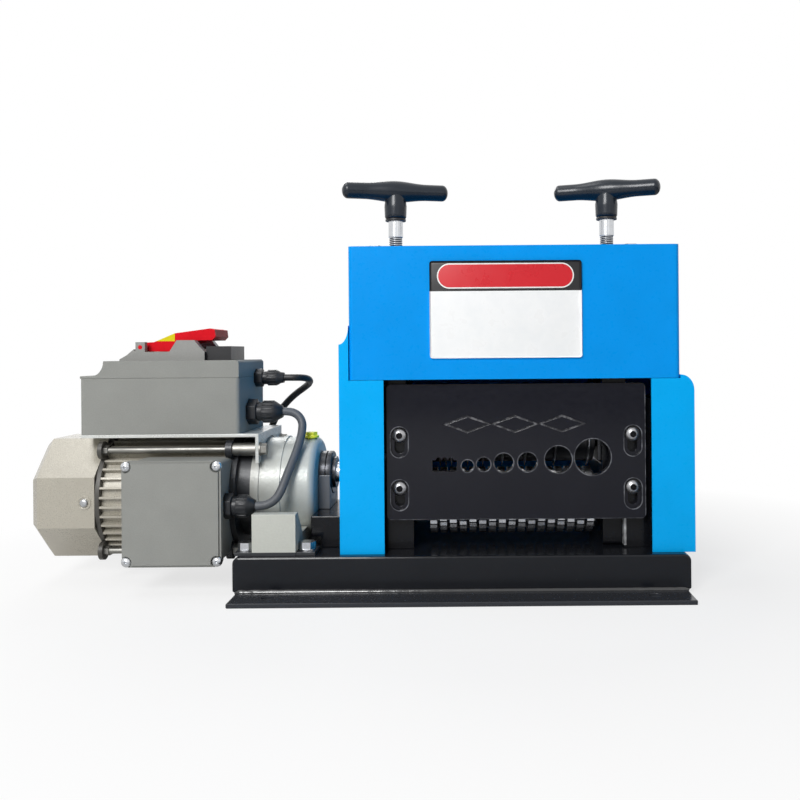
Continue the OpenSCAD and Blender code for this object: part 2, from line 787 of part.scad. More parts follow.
module gearbox_housing() {
    color(cast_grey) difference() {
        union() {
            x_turn(motor_x1, 0, drum_z) polygon(concat([[0, 0], [drum_r, 0]],
                arc([drum_r - 7, drum_x1 - motor_x1 - 7], 7, 7, 0, 90), [[0, drum_x1 - motor_x1]]));
            x_rod(motor_x1, motor_x1 + 10, 0, motor_z, 58);
            motor_lugs(motor_x1, motor_x1 + 6);
            for (x = [-196, -176]) x_rod(x, x + 4, 0, drum_z, drum_r + 1.2);
        }
        x_rod(motor_x1 - cut, -190, 0, motor_z, motor_shaft_r + run_gap);
        x_rod(-169, drum_x1 + cut, output_y, output_z, 10 + run_gap);
        for (y = [-1, 1], z = [-1, 1])
            x_rod(motor_x1 - cut, motor_x1 + 7, y * lug_y, motor_z + z * lug_dz, 3 + fit_gap);
        translate([vent[0], vent[1], vent[2] - 4]) cylinder(r = 4 + fit_gap, h = 20);
        slab([motor_x1 - cut, -70, 0], [drum_x1, 70, 8]);
        slab([foot_x[0] - cut, -70, 0], [drum_x1 + cut, 70, deck_z + foot_t]);
    }
}

module gearbox_foot() {
    color("#b4b1a6") difference() {
        union() {
            slab([foot_x[0], -foot_y, deck_z], [foot_x[1] - 9, foot_y, deck_z + foot_t]);
            for (y = [-foot_y, foot_y - 26])
                slab([foot_x[1] - 10, y, deck_z], [foot_x[1], y + 26, deck_z + foot_t]);
            difference() {
                x_draw(cheek_x[0], cheek_x[1]) polygon([[-foot_y - 1, deck_z], [foot_y + 1, deck_z],
                    [foot_y + 1, cheek_z], [foot_y - 10, cheek_z], [60, 50], [-60, 50],
                    [10 - foot_y, cheek_z], [-foot_y - 1, cheek_z]]);
                x_rod(cheek_x[0] - cut, cheek_x[1] + cut, 0, drum_z, drum_r + 1.5);
            }
        }
        for (x = foot_bolt_x, y = foot_bolt_y) translate([x, y, deck_z - cut]) cylinder(r = 4.2, h = 12);
    }
}

module vent_plug() {
    color("#e3d400") translate(vent) {
        translate([0, 0, -3]) cylinder(r = 4, h = 4);
        translate([0, 0, 0.6]) cylinder(r = 7.5, h = 2);
        translate([0, 0, 2.6]) cylinder(r = 6, h = 3.5, $fn = 6);
    }
}

// Finned motor
module motor_housing() {
    foot = stator_r + 3;
    color(motor_grey) translate([0, 0, motor_z]) x_draw(shield_x1, motor_x1) difference() {
        union() {
            circle(fin_r - 6);
            for (i = [0:fin_n - 1]) rotate((i + 0.5) * 360 / fin_n)
                translate([foot, -1.1]) square([fin_r - foot, 2.2]);
        }
        circle(stator_r);
    }
}

module stator() {
    color("#8a5a3a") difference() {
        x_rod(-320, -243, 0, motor_z, stator_r - fit_gap);
        x_rod(-321, -242, 0, motor_z, rotor_r + 0.6);
    }
}

module motor_rotor() {
    color(bare_steel) x_turn(0, 0, motor_z) polygon([[0, -392], [motor_shaft_r - 1, -392],
        [motor_shaft_r, -391], [motor_shaft_r, -318], [rotor_r, -318], [rotor_r, -245],
        [motor_shaft_r, -245], [motor_shaft_r, -192], [0, -192]]);
}

// Places on the front, lower and rear flats of the fan cover
module fan_screw_places() {
    for (a = [0:90:180]) translate([fan_screw_x, 0, motor_z]) rotate([a, 0, 0])
        translate([0, -fan_cover_w / 2, 0]) rotate([90, 0, 0]) children();
}

module end_shield() {
    color(motor_grey) difference() {
        union() {
            x_rod(fan_x1, shield_x1, 0, motor_z, fin_r);
            x_rod(-358, fan_x1 + cut, 0, motor_z, spigot_r);
            motor_lugs(fan_x1, shield_x1);
        }
        x_rod(-359, shield_x1 + cut, 0, motor_z, motor_shaft_r + run_gap);
        fan_screw_places() translate([0, 0, -12]) cylinder(r = 2 + fit_gap, h = 20);
        for (y = [-1, 1], z = [-1, 1])
            x_rod(fan_x1 - cut, shield_x1 + cut, y * lug_y, motor_z + z * lug_dz, 3 + fit_gap);
    }
}

// Rods that clamp the motor, with the spacers and nuts of the shelf on the upper pair
module x_nut(x, y, z, af, h) {
    translate([x, y, z]) rotate([0, 90, 0]) cylinder(d = af / cos(30), h = h, $fn = 6);
}

module tie_rods() {
    shelf_end = shelf_leg_x + shelf_t;
    color(zinc) for (y = [-lug_y, lug_y]) {
        for (z = [motor_z - lug_dz, motor_z + lug_dz]) {
            x_rod(fan_x1, motor_x1 + 6, y, z, 3);
            x_nut(shield_x1, y, z, 8, 4);
        }
        x_nut(motor_x1 + 6, y, motor_z - lug_dz, 10, 5);
        x_rod(motor_x1 + 6, shelf_leg_x, y, motor_z + lug_dz, 6);
        x_rod(shelf_leg_x - cut, shelf_end + 2, y, motor_z + lug_dz, 3);
        x_rod(shelf_end, shelf_end + 1.5, y, motor_z + lug_dz, 6.5);
        x_nut(shelf_end + 1.5, y, motor_z + lug_dz, 10, 5.5);
    }
}

// Eight-sided fan cover with a vented end
module octagon(x0, x1, w0, w1) {
    translate([x0, 0, motor_z]) rotate([0, 90, 0]) rotate(22.5)
        cylinder(r1 = w0 / 2 / cos(22.5), r2 = w1 / 2 / cos(22.5), h = x1 - x0, $fn = 8);
}

module fan_shell(x0, x1, w, mouth) {
    intersection() {
        octagon(x0, x1, w, w);
        octagon(x0, x1 + cut, mouth, mouth + 2 * (x1 + cut - x0));
    }
}

module fan_cover() {
    end_w = fan_cover_w - 14;
    color(motor_grey) difference() {
        fan_shell(fan_x0, fan_x1 - 0.5, fan_cover_w, end_w);
        fan_shell(fan_x0 + sheet, fan_x1 + cut, fan_cover_w - 2 * sheet, end_w - 2);
        for (r = [16, 26, 36, 44], k = [0:r / 2]) let (a = k * 720 / (r + 2))
            x_rod(fan_x0 - cut, fan_x0 + sheet + cut, r * cos(a), motor_z + r * sin(a), 2.4);
        fan_screw_places() translate([0, 0, -5]) cylinder(r = 2.2, h = 10);
    }
}

module cooling_fan() {
    color(plastic_black) difference() {
        union() {
            x_rod(-388, -366, 0, motor_z, 13);
            x_rod(-369, -366, 0, motor_z, 46);
            for (k = [0:7]) translate([0, 0, motor_z]) rotate([k * 45, 0, 0])
                slab([-388, 11, -1.2], [-366, 49, 1.2]);
        }
        x_rod(-395, -360, 0, motor_z, motor_shaft_r + fit_gap);
    }
}

// Terminal box saddled on the fins, with a shallow lid
module terminal_box() {
    color(box_grey) difference() {
        y_draw(term_front + term_lid_t, -36)
            round_rect([term_x[0] + 2, term_z[0] + 2], [term_x[1] - 2, term_z[1] - 2], 5);
        y_draw(term_front, -62)
            round_rect([term_x[0] + 6, term_z[0] + 6], [term_x[1] - 6, term_z[1] - 6], 4);
        x_rod(-340, -200, 0, motor_z, fin_r + 0.3);
        x_rod(term_x[0] - cut, term_x[1] + cut, -lug_y, motor_z - lug_dz, 3 + term_rod_gap);
        for (z = [-1, 1]) x_rod(motor_x1 - cut, term_x[1], -lug_y, motor_z + z * lug_dz, lug_r + 0.5);
        x_rod(term_x[1] - 10, term_x[1], term_gland[0], term_gland[1], 6);
    }
}

module terminal_lid() {
    color(box_grey) difference() {
        union() {
            y_draw(term_front + 2, term_front + term_lid_t)
                round_rect([term_x[0], term_z[0]], [term_x[1], term_z[1]], 6);
            y_draw(term_front, term_front + 3)
                round_rect([term_x[0] + 2, term_z[0] + 2], [term_x[1] - 2, term_z[1] - 2], 5);
        }
        for (x = [-1, 1], z = [-1, 1]) {
            at = term_mid + [x * term_screw[0], z * term_screw[1]];
            y_rod(at[0], at[1], term_front - cut, term_front + 3, 5.3);
            y_rod(at[0], at[1], term_front, term_front + 20, 2 + fit_gap);
        }
    }
}

// Small screws of the terminal lid and the fan cover
module motor_screws() {
    color(zinc) {
        for (x = [-1, 1], z = [-1, 1]) {
            at = term_mid + [x * term_screw[0], z * term_screw[1]];
            socket_screw_y(at[0], at[1], term_front + 3, 4.9, 4.2, 2, 6);
        }
        fan_screw_places() rotate_extrude()
            polygon([[0, -9], [2, -9], [2, 0], [4, 0], [3.6, 1.6], [2.4, 2.4], [0, 2.6]]);
    }
}

// Cable gland along +X, a hex body and a dome nut, with the lead's end on its tip
module gland(x0, y, z, len, af, lead_d) {
    translate([x0, y, z]) rotate([0, 90, 0]) {
        cylinder(d = af / cos(30), h = len * 0.28, $fn = 6);
        rotate_extrude() polygon([[0, len * 0.25], [af * 0.42, len * 0.25], [af * 0.42, len * 0.45],
            [af * 0.5, len * 0.45], [af * 0.5, len * 0.75], [lead_d / 2 + 1.9, len], [0, len]]);
    }
}

module terminal_gland() {
    color(plastic_black) gland(term_x[1] - 2, term_gland[0], term_gland[1], 28, 21, motor_lead_d);
}

// Shelf over the motor with a folded leg bolted to the gearbox lugs
module control_bracket() {
    color(cast_grey) difference() {
        union() {
            slab([box_x0, box_y0, box_low - shelf_t], [shelf_leg_x + shelf_t, box_y0 + box_d, box_low]);
            slab([shelf_leg_x, -49, 112], [shelf_leg_x + shelf_t, 49, box_low]);
        }
        for (y = [-lug_y, lug_y])
            x_rod(shelf_leg_x - cut, shelf_leg_x + shelf_t + cut, y, motor_z + lug_dz, 3 + fit_gap);
        x_rod(shelf_leg_x - cut, shelf_leg_x + shelf_t + cut, 0, drum_z, drum_r + 1.5);
    }
}

// Control box, its lid and the stop switch on top
module control_box() {
    color(box_grey) difference() {
        translate([0, 0, box_low]) linear_extrude(box_seam - box_low)
            round_rect([box_x0, box_y0], [box_x1, box_y0 + box_d], 4);
        translate([0, 0, box_low + wall]) linear_extrude(box_seam)
            round_rect([box_x0 + wall, box_y0 + wall], [box_x1 - wall, box_y0 + box_d - wall], 2);
        x_rod(box_x1 - 5, box_x1 + cut, mains_gland[0], mains_gland[1], 4.5);
        x_rod(box_x1 - 5, box_x1 + cut, lead_gland[0], lead_gland[1], 6);
    }
}

module control_lid() {
    color(box_grey) difference() {
        y_draw(box_y0, box_y0 + box_d) polygon(concat(
            [[box_x0, box_seam], [box_x1, box_seam], [box_x1, lid_z - 2], [box_x1 - 2, lid_z]],
            arc([box_x0 + lid_ramp - 11, lid_z], 11, lid_z - box_seam - 2.5, 0, -90, 6),
            [[box_x0, box_seam + 2.5]]));
        slab([box_x0 + lid_ramp + wall, box_y0 + wall, box_seam - cut],
            [box_x1 - wall, box_y0 + box_d - wall, lid_z - wall]);
        x_rod(box_x1 - 5, box_x1 + cut, mains_gland[0], mains_gland[1], 4.5);
    }
}

module switch_body() {
    x0 = switch_x[0];
    pin_x = paddle_pin[0];
    color("#8c8d8c") difference() {
        y_draw(switch_y[0], switch_y[1]) polygon([[x0 + 2, lid_z], [x0 + 84, lid_z], [x0 + 84, lid_z + 8],
            [x0 + 79, lid_z + 13], [x0 + 74, lid_z + 19.5], [x0 + 57, lid_z + 19.5], [x0 + 50, lid_z + 8.5],
            [x0 + 21, lid_z + 8.5], [x0 + 18, lid_z + 13], [x0 + 9, lid_z + 5.5], [x0 + 2, lid_z + 1.5]]);
        slab([x0 + 14, -24, lid_z + recess], [x0 + 58, 24, lid_z + 40]);
        slab([x0 + 57, -24, lid_z + 11], [x0 + 90, 24, lid_z + 40]);
        for (x = button_x)
            slab([x - button_half, -10, lid_z - cut], [x + button_half, 10, lid_z + 30]);
        y_rod(pin_x, paddle_pin[1], -40, 40, 6.5);
    }
    color(plastic_black) difference() {
        slab([x0 + 84, -28, lid_z], [switch_x[1], 20, lid_z + 13.5]);
        slab([x0 + 83, -24, lid_z + 10], [switch_x[1] - 4, 16, lid_z + 20]);
    }
    color("#8c8d8c") for (y = [-33, 27]) difference() {
        slab([pin_x - 4.5, y, lid_z + 3], [pin_x + 4.5, y + 6, paddle_pin[1] + 5]);
        y_rod(pin_x, paddle_pin[1], y - 1, y + 7, 2 + run_gap);
    }
}

module button(x) {
    side = button_half - slide_gap;
    slab([x - side, -10 + slide_gap, lid_z + 3.2], [x + side, 10 - slide_gap, lid_z + recess + 1.3]);
}

module start_button() {
    color("green") button(button_x[0]);
}

module stop_button() {
    color("red") button(button_x[1]);
}

// Red stop paddle, hinged at its left end
module stop_paddle() {
    color("#e0201c") translate([paddle_pin[0], 0, paddle_pin[1]]) {
        y_draw(-22, 22) polygon([[-4, -4], [26, -4.3], [36, 2], [48, 6.3], [66, 6.6], [69.3, 10],
            [68.5, 17], [64, 18], [29.6, 13.5], [9.3, 5], [-3, 4.5]]);
        y_rod(0, 0, switch_y[0], switch_y[1], 2);
    }
}

module control_glands() {
    color(plastic_black) {
        gland(box_x1, mains_gland[0], mains_gland[1], 29, 16, mains_d);
        gland(box_x1, lead_gland[0], lead_gland[1], 34, 22, motor_lead_d);
    }
}

// Leads: the motor lead, and the mains lead with its coil and plug
function climb(t) = let (s = max(0, min(1, (t - coil_turns / 2 + 0.25) * 2))) s * s * (3 - 2 * s);
function coil_point(t) =
    let (r = coil_r - coil_step * (coil_turns / 2 - abs(t - coil_turns / 2)), a = -90 - 360 * t)
    [coil_x + r * cos(a), coil_y + r * sin(a), coil_z + coil_climb * climb(t)];
coil_path = concat([for (x = [6, 3]) [coil_x + x, coil_y - coil_r, coil_z]],
    [for (i = [0:coil_turns * coil_rings]) coil_point(i / coil_rings)],
    [[coil_x - coil_tail / 2, coil_y - coil_r, plug_z], [coil_x - coil_tail, coil_y - coil_r, plug_z]]);
coil_gap = min([for (i = [0:len(coil_path) - 1], k = [i + 12:1:len(coil_path) - 1])
    norm(coil_path[i] - coil_path[k])]) - mains_d;
echo(coil_gap = coil_gap);

module motor_lead() {
    color("#6f7378") tube(smooth(motor_route, 2), motor_lead_d, 10);
}

module mains_lead() {
    color(plastic_black) tube(smooth(mains_route, 2), mains_d, 8);
}

module lead_coil() {
    color(plastic_black) tube(coil_path, mains_d, 6);
}

// Strap round the coil's turns
module coil_tie() {
    room = 0.3;
    inner = coil_r - coil_step * coil_turns / 2 - mains_d / 2 - 3 * room;
    outer = coil_r + mains_d / 2 + room;
    low = coil_z - mains_d / 2 - room;
    high = plug_z + mains_d / 2 + room;
    color("#d8d8d4") translate([coil_x, coil_y, 0]) y_draw(-tie_w / 2, tie_w / 2) difference() {
        round_rect([inner - tie_t, low - tie_t], [outer + tie_t, high + tie_t], 2);
        round_rect([inner, low], [outer, high], 1);
    }
}

module mains_plug() {
    x1 = coil_x - coil_tail;
    y = coil_y - coil_r;
    color(plastic_black) mirror([1, 0, 0]) x_turn(-x1, y, plug_z) polygon([[0, 0], [4.8, 0], [6, 24],
        [8, 26], [11, 34], [plug_z - 0.1, 44], [plug_z - 0.1, 50], [9, 52], [0, 52]]);
    color(zinc) for (s = [-1, 1]) x_rod(x1 - 70, x1 - 52 + cut, y + s * 6, plug_z, 2.2);
}

base_plate();
base_channel();
left_side_frame();
right_side_frame();
top_plate();
hood();
left_gear_cover();
right_gear_cover();
cover_screws();
hex_bolts();
guide_brackets();
guide_plate();
guide_bolts();
roller_shaft();
feed_roller();
roller_bearings();
roller_gear();
lower_timing_gear();
upper_timing_gear();
blade_shaft();
disc_blades();
blade_spacers();
blade_bearings();
bearing_blocks();
left_screw();
right_screw();
left_handle();
right_handle();
output_shaft();
drive_pinion();
output_bearing();
bearing_stand();
support_block();
gearbox_housing();
gearbox_foot();
vent_plug();
motor_housing();
stator();
motor_rotor();
end_shield();
tie_rods();
fan_cover();
cooling_fan();
terminal_box();
terminal_lid();
motor_screws();
terminal_gland();
control_bracket();
control_box();
control_lid();
switch_body();
stop_paddle();
start_button();
stop_button();
control_glands();
motor_lead();
mains_lead();
lead_coil();
coil_tie();
mains_plug();
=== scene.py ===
import json
import math

import bpy
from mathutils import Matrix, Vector


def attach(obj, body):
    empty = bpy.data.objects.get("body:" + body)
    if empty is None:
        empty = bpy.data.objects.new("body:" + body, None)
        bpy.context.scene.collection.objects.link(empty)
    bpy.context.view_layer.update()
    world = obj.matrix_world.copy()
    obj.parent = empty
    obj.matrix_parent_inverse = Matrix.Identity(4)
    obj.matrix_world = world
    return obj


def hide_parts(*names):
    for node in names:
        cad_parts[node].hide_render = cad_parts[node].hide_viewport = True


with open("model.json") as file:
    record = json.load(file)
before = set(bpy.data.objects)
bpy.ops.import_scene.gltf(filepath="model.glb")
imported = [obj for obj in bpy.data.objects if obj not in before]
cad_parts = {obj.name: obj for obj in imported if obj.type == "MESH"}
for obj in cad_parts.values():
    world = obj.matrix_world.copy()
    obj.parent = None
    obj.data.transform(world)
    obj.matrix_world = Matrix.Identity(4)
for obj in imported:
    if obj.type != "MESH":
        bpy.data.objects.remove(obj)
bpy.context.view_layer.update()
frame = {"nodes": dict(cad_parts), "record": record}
mm = 0.001
print("frame loaded:", len(frame["nodes"]), "nodes")


# shader values that can be added, subtracted, multiplied, raised and compared
class Val:
    def __init__(self, finish, socket):
        self.finish = finish
        self.socket = socket

    def maths(self, operation, first, second):
        return self.finish.node("ShaderNodeMath", {"operation": operation}, {0: first, 1: second})

    def __add__(self, other):
        return self.maths("ADD", self, other)

    def __sub__(self, other):
        return self.maths("SUBTRACT", self, other)

    def __rsub__(self, other):
        return self.maths("SUBTRACT", other, self)

    def __mul__(self, other):
        return self.maths("MULTIPLY", self, other)

    __radd__ = __add__
    __rmul__ = __mul__

    def __pow__(self, other):
        return self.maths("POWER", self, other)

    def __abs__(self):
        return self.maths("ABSOLUTE", self, 0)

    def __gt__(self, other):
        return self.maths("GREATER_THAN", self, other)

    def __lt__(self, other):
        return self.maths("LESS_THAN", self, other)


# one material; node() makes any node, its settings first and then its sockets
class Finish:
    def __init__(self, name, fixed=None):
        self.material = bpy.data.materials.new(name)
        self.material.use_nodes = True
        self.tree = self.material.node_tree
        self.shader = self.tree.nodes["Principled BSDF"]
        self.set(fixed or {})
        self.place = self.node("ShaderNodeTexCoord", output="Object")

    def node(self, kind, settings=None, inputs=None, output=0):
        made = self.tree.nodes.new(kind)
        for name, value in (settings or {}).items():
            setattr(made, name, value)
        for key, value in (inputs or {}).items():
            self.feed(made.inputs[key], value)
        return Val(self, made.outputs[output])

    def feed(self, socket, value):
        if isinstance(value, Val):
            self.tree.links.new(value.socket, socket)
        else:
            socket.default_value = value

    def set(self, values):
        for key, value in values.items():
            self.feed(self.shader.inputs[key], value)

    def stretched(self, scale):
        return self.node("ShaderNodeMapping", None, {"Vector": self.place, "Scale": scale})

    def noise(self, scale, detail=3, rough=0.55, vector=None):
        return self.node("ShaderNodeTexNoise", None, {"Vector": vector or self.place, "Scale": scale,
                         "Detail": detail, "Roughness": rough})

    def spread(self, value, low, high, toLow=0.0, toHigh=1.0):
        return self.node("ShaderNodeMapRange", None, {"Value": value, "From Min": low, "From Max": high,
                         "To Min": toLow, "To Max": toHigh})

    def mix(self, amount, first, second):
        return self.node("ShaderNodeMix", {"data_type": "RGBA"}, {0: amount, 6: first, 7: second}, 2)

    def axes(self):
        made = self.node("ShaderNodeSeparateXYZ", None, {0: self.place})
        return [Val(self, out) for out in made.socket.node.outputs]

    def bump(self, height, strength, distance):
        self.set({"Normal": self.node("ShaderNodeBump", None,
                                      {"Strength": strength, "Distance": distance, "Height": height})})


# screen colour, 0 to 255, to the linear one that shaders take
def colour(red, green, blue):
    parts = [c / 255 for c in (red, green, blue)]
    return [((c + 0.055) / 1.055) ** 2.4 if c > 0.04 else c / 12.92 for c in parts] + [1]


def shade(tone, by):
    return [min(1, c * by) for c in tone[:3]] + [1]


# camera at the photograph's place
cameraPlace = {"at": (7, -840, 215.5), "focal": 840, "centre": (468, 352), "image": 800, "roll": 0.45,
               "sensor": 36, "near": 0.01}
bpy.ops.object.camera_add(location=[c * mm for c in cameraPlace["at"]],
                          rotation=(math.radians(90), math.radians(cameraPlace["roll"]), 0))
camera = bpy.context.object
camera.data.sensor_width = cameraPlace["sensor"]
camera.data.lens = cameraPlace["sensor"] * cameraPlace["focal"] / cameraPlace["image"]
camera.data.shift_x = (cameraPlace["image"] / 2 - cameraPlace["centre"][0]) / cameraPlace["image"]
camera.data.shift_y = (cameraPlace["centre"][1] - cameraPlace["image"] / 2) / cameraPlace["image"]
camera.data.clip_start = cameraPlace["near"]
bpy.context.scene.camera = camera
bpy.context.scene.view_settings.view_transform = "Standard"


# cords: the routes are those of the solids, in millimetres
motorLead = {
    "diameter": 8,
    "route": [(-175, -15, 158.5), (-171, -15, 158.5), (-164.2, -15.6, 157.1), (-158.7, -17.3, 153.3),
              (-155.5, -19.7, 147.6), (-155, -22.6, 141.2), (-155.5, -27.5, 134), (-156.4, -34.5, 127),
              (-158, -42, 119.2), (-160.2, -49, 110.8), (-162.8, -55, 102.3), (-165.3, -60, 94),
              (-167.8, -63.8, 87), (-171.4, -67, 81.4), (-177.5, -69.3, 77.4), (-185, -70, 76),
              (-189, -70, 76)],
}
mainsLead = {
    "diameter": 7,
    "route": [(-180, 14, 191), (-177, 14, 191), (-174, 14.1, 191), (-168.5, 15.2, 190.9),
              (-163.2, 18.8, 190.6), (-159.2, 24.6, 189.6), (-157.8, 32, 187.6), (-159.2, 39.3, 184.8),
              (-163, 45.2, 181.6), (-168.3, 49.3, 178), (-174.2, 52, 174), (-180.5, 54, 169),
              (-187, 56.2, 162.8), (-194.5, 60, 154.5), (-202, 65, 143.5), (-208.5, 70, 129.5),
              (-214, 74, 113), (-218.5, 77, 95.5), (-222, 79, 77.5), (-225, 80, 60),
              (-228.5, 80, 43.5), (-233.5, 79.5, 29), (-241, 77.5, 17.5), (-250.5, 75, 9.7),
              (-261, 72.8, 6.2), (-272, 71.3, 5), (-282, 71, 4.9), (-294, 71, 4.9)],
    "coilMiddle": (-300, 118), "coilRadius": 47, "turns": 6, "step": 7.6, "climb": 7.5, "low": 4.9,
    "pointsPerTurn": 24, "leadIn": 3, "tail": 44, "tailPoints": 3,
}


def coilPoints(lead):
    x, y = lead["coilMiddle"]
    points = [(x + lead["leadIn"], y - lead["coilRadius"], lead["low"])]
    half = lead["turns"] / 2
    for i in range(lead["turns"] * lead["pointsPerTurn"] + 1):
        t = i / lead["pointsPerTurn"]
        radius = lead["coilRadius"] - lead["step"] * (half - abs(t - half))
        s = max(0, min(1, (t - half + 0.25) * 2))  # climbs on to the upper layer half way
        angle = math.radians(-90 - 360 * t)
        points.append((x + radius * math.cos(angle), y + radius * math.sin(angle),
                       lead["low"] + lead["climb"] * s * s * (3 - 2 * s)))
    top = lead["low"] + lead["climb"]
    steps = range(1, lead["tailPoints"] + 1)
    return points + [(x - lead["tail"] * k / lead["tailPoints"], y - lead["coilRadius"], top) for k in steps]


def cordCurve(name, points, diameter):
    data = bpy.data.curves.new(name, "CURVE")
    data.dimensions = "3D"
    data.bevel_depth = diameter / 2
    data.bevel_resolution = 5
    data.resolution_u = 6
    data.use_fill_caps = True
    spline = data.splines.new("BEZIER")
    spline.bezier_points.add(len(points) - 1)
    for knot, point in zip(spline.bezier_points, points):
        knot.co = Vector(point) * mm
        knot.radius = mm
        knot.handle_left_type = knot.handle_right_type = "AUTO"
    cord = bpy.data.objects.new(name, data)
    bpy.context.scene.collection.objects.link(cord)
    return cord


def splineLength(cord):
    made = cord.data.splines[0].calc_length()
    print(cord.name, "is", round(made, 4), "m long")
    return made


motorCord = cordCurve("motorCord", motorLead["route"], motorLead["diameter"])
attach(motorCord, "machine")
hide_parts("motor_lead")
splineLength(motorCord)

mainsCord = cordCurve("mainsCord", mainsLead["route"] + coilPoints(mainsLead), mainsLead["diameter"])
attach(mainsCord, "machine")
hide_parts("mains_lead", "lead_coil")
splineLength(mainsCord)


# finishes
def glossPaint(name, tone, rough=0.16, peel=0.5, coat=0.6, gloss=1.5):
    paint = Finish(name, {"Metallic": 0.0, "IOR": gloss, "Coat Roughness": 0.06, "Coat IOR": gloss})
    drift = paint.noise(18, 3)
    dust = paint.noise(260, 4, 0.7)
    paint.set({"Base Color": paint.mix(paint.spread(drift, 0.3, 0.75), shade(tone, 0.96), shade(tone, 1.05)),
               "Roughness": paint.spread(dust, 0.35, 0.8, rough * 0.8, rough * 1.7),
               "Coat Weight": paint.spread(drift, 0.3, 0.7, coat * 0.7, coat)})
    paint.bump(paint.noise(420, 2) * 0.8 + dust * 0.2, peel * 0.12, 0.0006)
    return paint


def bareMetal(name, tone, rough, along, metallic=1.0):
    metal = Finish(name, {"IOR": 2.2})
    streak = metal.noise(1, 4, 0.6, metal.stretched([40 if axis == along else 1800 for axis in "XYZ"]))
    stain = metal.noise(45, 4, 0.6)
    metal.set({"Base Color": metal.mix(metal.spread(stain, 0.35, 0.75), shade(tone, 1.08), shade(tone, 0.72)),
               "Metallic": metal.spread(stain, 0.3, 0.9, metallic, metallic * 0.9),
               "Roughness": metal.spread(streak * 0.6 + stain * 0.4, 0.3, 0.7, rough * 0.7, rough * 1.5)})
    metal.bump(streak, 0.08, 0.0003)
    return metal


def casting(name, tone, rough=0.42, grain=520, coat=0.3):
    cast = Finish(name, {"IOR": 1.48, "Coat Roughness": 0.24})
    drift = cast.noise(30, 4, 0.6)
    pits = cast.noise(grain, 3, 0.6)
    grime = cast.spread(drift * 0.6 + pits * 0.4, 0.3, 0.75)
    cast.set({"Base Color": cast.mix(grime, shade(tone, 1.06), shade(tone, 0.9)),
              "Metallic": cast.spread(pits, 0.3, 0.8, 0.18, 0.05),
              "Roughness": cast.spread(pits * 0.5 + drift * 0.5, 0.3, 0.7, rough * 0.75, rough * 1.3),
              "Coat Weight": cast.spread(drift, 0.3, 0.7, coat * 0.6, coat)})
    cast.bump(pits, 0.22, 0.0006)
    return cast


def moulded(name, tone, rough=0.4, grain=900, depth=0.2, coat=0.0, gloss=1.46):
    plastic = Finish(name, {"IOR": gloss, "Coat Roughness": 0.15})
    drift = plastic.noise(35, 3)
    spark = plastic.noise(grain, 2, 0.6)
    mottle = drift * 0.5 + spark * 0.5
    patches = plastic.spread(mottle, 0.3, 0.75)
    plastic.set({"Base Color": plastic.mix(patches, shade(tone, 0.93), shade(tone, 1.08)),
                 "Roughness": plastic.spread(mottle, 0.3, 0.7, rough * 0.8, rough * 1.25),
                 "Coat Weight": plastic.spread(drift, 0.3, 0.7, coat * 0.6, coat)})
    plastic.bump(spark, depth, 0.0004)
    return plastic


blackPaint = glossPaint("blackPaint", colour(15, 16, 20), rough=0.2, peel=0.4, coat=0.25, gloss=1.28)
# painted light: lighter copies of the black paint for the base plate and the channel, standing in for the
# light they catch
litBasePaint = glossPaint("litBasePaint", colour(47, 49, 54), rough=0.2, peel=0.5, coat=0.3, gloss=1.34)
litChannelPaint = glossPaint("litChannelPaint", colour(24, 26, 31), rough=0.18, peel=0.4, coat=0.3, gloss=1.3)
platePaint = glossPaint("platePaint", colour(17, 18, 28), rough=0.16, peel=0.4, coat=0.3, gloss=1.3)
bluePaint = glossPaint("bluePaint", colour(0, 151, 238), rough=0.3, peel=0.5, coat=0.12, gloss=1.2)
# painted light: the gear covers get a lighter copy of the hood's blue paint
litCoverBlue = glossPaint("litCoverBlue", colour(0, 174, 248), rough=0.3, peel=0.5, coat=0.12, gloss=1.2)
weldPaint = glossPaint("weldPaint", colour(18, 19, 22), rough=0.14, peel=1.4, coat=0.5, gloss=1.6)
boltSteel = bareMetal("boltSteel", colour(176, 176, 178), rough=0.28, along="Z")
bareSteel = bareMetal("bareSteel", colour(196, 198, 202), rough=0.26, along="X")
zincPlate = bareMetal("zincPlate", colour(205, 207, 210), rough=0.22, along="Z")
blackOxide = bareMetal("blackOxide", colour(60, 61, 65), rough=0.3, along="X", metallic=0.9)
greyPaint = glossPaint("greyPaint", colour(92, 93, 96), rough=0.35, peel=0.6, coat=0.1)
castGrey = casting("castGrey", colour(190, 193, 188), rough=0.4, grain=520, coat=0.16)
beigeCast = casting("beigeCast", colour(196, 198, 190), rough=0.5)
rodSteel = bareMetal("rodSteel", colour(142, 141, 136), rough=0.42, along="X")
# painted shade: a dark casting finish for the end shield, standing in for the shade it sits in
shadedShieldGrey = casting("shadedShieldGrey", colour(70, 68, 64), rough=0.4)
motorGrey = casting("motorGrey", colour(178, 173, 160), rough=0.28, grain=700, coat=0.5)
winding = bareMetal("winding", colour(150, 88, 50), rough=0.35, along="X")
boxPlastic = moulded("boxPlastic", colour(149, 150, 146), rough=0.42, gloss=1.08)
switchPlastic = moulded("switchPlastic", colour(150, 150, 147), rough=0.38)
blackPlastic = moulded("blackPlastic", colour(22, 25, 30), rough=0.36, grain=700, depth=0.16)
redPlastic = moulded("redPlastic", colour(214, 26, 34), rough=0.22, grain=500, depth=0.06, coat=0.4)
greenPlastic = moulded("greenPlastic", colour(20, 130, 60), rough=0.25, grain=500, depth=0.06, coat=0.4)
yellowPlastic = moulded("yellowPlastic", colour(252, 246, 60), rough=0.28, grain=500, depth=0.06, coat=0.3)
greySheath = moulded("greySheath", colour(86, 89, 94), rough=0.48, grain=1100, depth=0.18)
blackSheath = moulded("blackSheath", colour(26, 26, 28), rough=0.42, grain=1100, depth=0.18)
handleGrey = moulded("handleGrey", colour(14, 25, 36), rough=0.3, grain=700, depth=0.1, coat=0.25, gloss=1.4)
shelfGrey = casting("shelfGrey", colour(214, 216, 212), rough=0.25, grain=700, coat=0.6)
